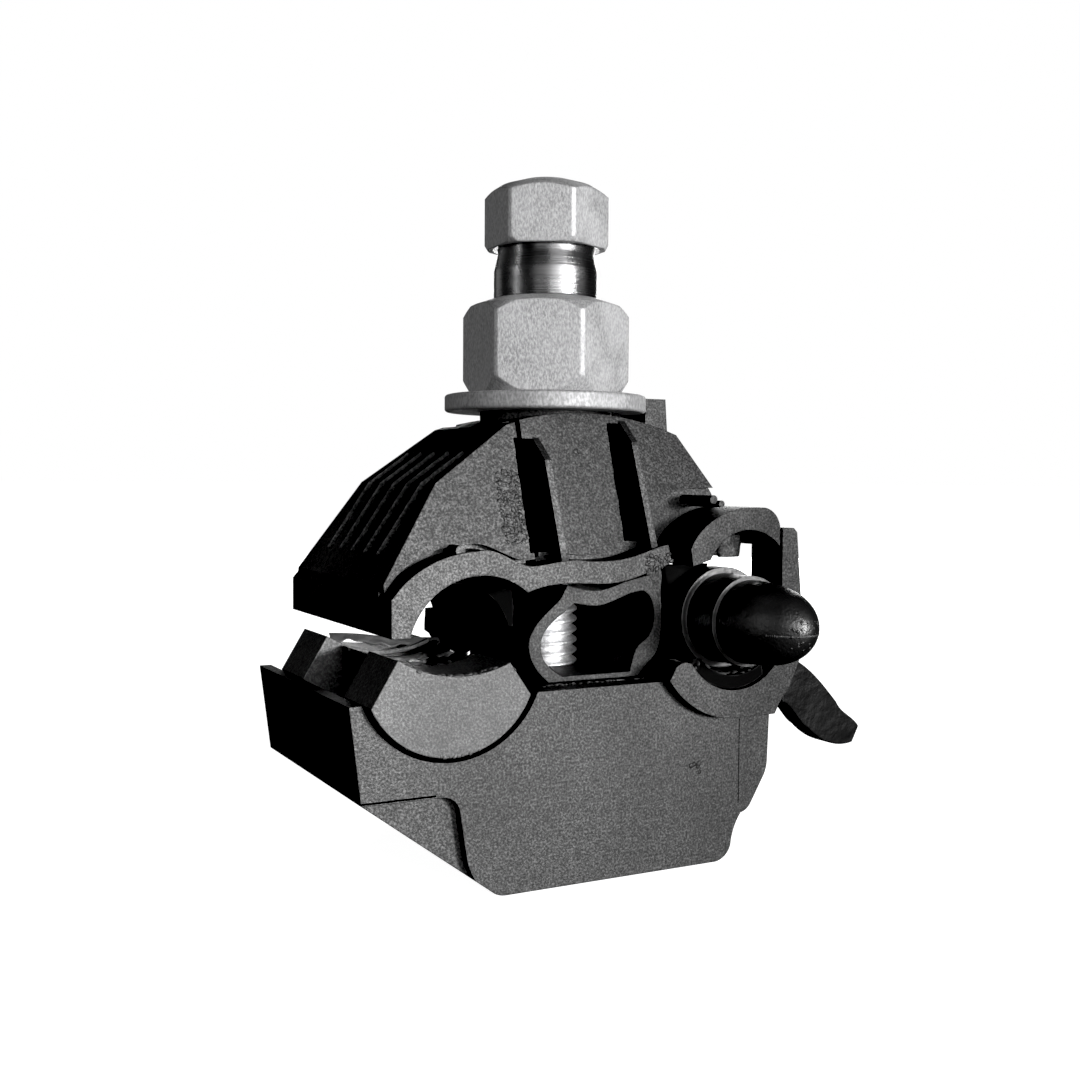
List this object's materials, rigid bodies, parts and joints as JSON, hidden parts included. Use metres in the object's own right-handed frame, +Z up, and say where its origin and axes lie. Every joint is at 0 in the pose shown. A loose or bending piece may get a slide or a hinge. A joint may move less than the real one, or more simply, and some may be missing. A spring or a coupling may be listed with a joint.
{
  "type": "insulation piercing connector",
  "caption": "Plastic clamp with a hipped upper jaw over a keeled lower jaw, cable grooves with toothed contact blades, a through bolt with shear nut and a rubber end cap.",
  "frame": {"origin": "where the bolt axis meets the flat underside of the lower body", "axes": "+Z up the clamping bolt, +Y along the cable grooves towards the back, +X from the main groove to the tap groove; the end cap points to -Y"},
  "size_m": [0.0656, 0.0473, 0.0792],
  "materials": {
    "body_plastic": "matt black glass-filled nylon with fine grain",
    "cradle_rubber": "matt black elastomer with fine grain",
    "pad_rubber": "black rubber wet with sealing grease",
    "cap_rubber": "smooth black rubber, slightly glossy",
    "nut_metal": "dull zinc plated hexagons, brightly turned neck",
    "washer_metal": "satin zinc plated",
    "bolt_metal": "bright zinc plated",
    "blade_metal": "tin plated copper"
  },
  "bodies": {
    "lower_jaw": {"lower_body": "body_plastic", "clamp_bolt": "bolt_metal", "main_front_cradle": "cradle_rubber", "main_rear_cradle": "cradle_rubber", "lower_main_pad": "pad_rubber", "tap_front_cradle": "cradle_rubber", "tap_rear_cradle": "cradle_rubber", "lower_tap_pad": "pad_rubber", "lower_front_blade": "blade_metal", "lower_rear_blade": "blade_metal", "jaw_spreader": "cradle_rubber", "cap_strap": "cap_rubber"},
    "upper_jaw": {"upper_body": "body_plastic", "upper_main_pad": "pad_rubber", "upper_tap_pad": "pad_rubber", "upper_front_blade": "blade_metal", "upper_rear_blade": "blade_metal", "flat_washer": "washer_metal"},
    "nut": {"shear_nut": "nut_metal"},
    "cap": {"end_cap": "cap_rubber"}
  },
  "joints": [
    {"name": "jaw_close", "type": "slide", "parent": "lower_jaw", "child": "upper_jaw", "axis": [0, 0, 1], "range_m": [-0.0062, 0.002], "deforming": ["main_front_cradle", "main_rear_cradle", "jaw_spreader", "end_cap", "lower_main_pad"]},
    {"name": "nut_turn", "type": "hinge", "parent": "upper_jaw", "child": "nut", "pos_m": [0, 0, 0.06], "axis": [0, 0, 1], "range_deg": [-1785.6, 576]},
    {"name": "cap_pull", "type": "slide", "parent": "lower_jaw", "child": "cap", "axis": [0, -1, 0], "range_m": [0, 0.018]}
  ],
  "couplings": [
    {"joint": "nut_turn", "follows": "jaw_close", "rad_per_m": 5026.5}
  ]
}
